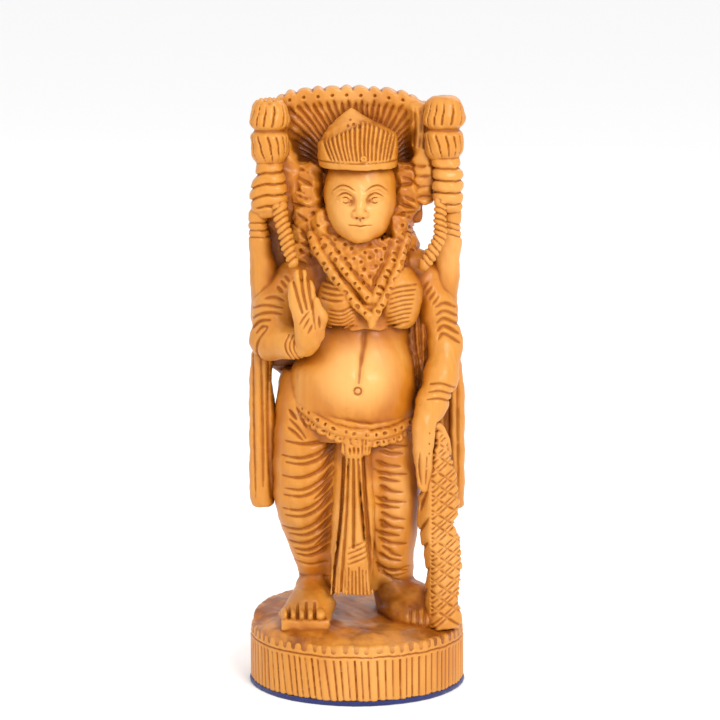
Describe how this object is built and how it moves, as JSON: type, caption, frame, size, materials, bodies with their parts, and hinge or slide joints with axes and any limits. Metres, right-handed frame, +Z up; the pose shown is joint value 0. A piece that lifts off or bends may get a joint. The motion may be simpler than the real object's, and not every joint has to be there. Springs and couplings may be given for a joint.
{
  "type": "carved wooden figure",
  "caption": "Standing many-armed figure carved from light wood on a fluted round plinth with a felt pad, holding lotus buds and a mace before a scalloped halo.",
  "frame": {"origin": "centre of the felt pad's underside, where the figure stands on a surface", "axes": "+Z up, the figure looks along -Y, its left hand is on +X"},
  "size_m": [0.0546, 0.0546, 0.15],
  "materials": {
    "wood": "hand-carved close-grained light wood, stained darker in the cuts, with a satin lacquer",
    "felt": "dense blue wool felt, glued to the underside"
  },
  "bodies": {
    "root": {"felt_pad": "felt", "base_drum": "wood", "bead_rim": "wood", "ground": "wood", "right_foot": "wood", "left_foot": "wood", "right_leg": "wood", "left_leg": "wood", "front_sash": "wood", "waist_belt": "wood", "torso": "wood", "bodice": "wood", "garland": "wood", "head": "wood", "crown": "wood", "hair": "wood", "halo": "wood", "right_rear_arm": "wood", "left_rear_arm": "wood", "right_rear_hand": "wood", "left_rear_hand": "wood", "right_lotus": "wood", "left_lotus": "wood", "right_lotus_stem": "wood", "left_lotus_stem": "wood", "right_front_arm": "wood", "left_front_arm": "wood", "right_front_hand": "wood", "left_front_hand": "wood", "mace": "wood", "right_shawl": "wood", "left_shawl": "wood", "back_shawl": "wood"}
  },
  "joints": []
}
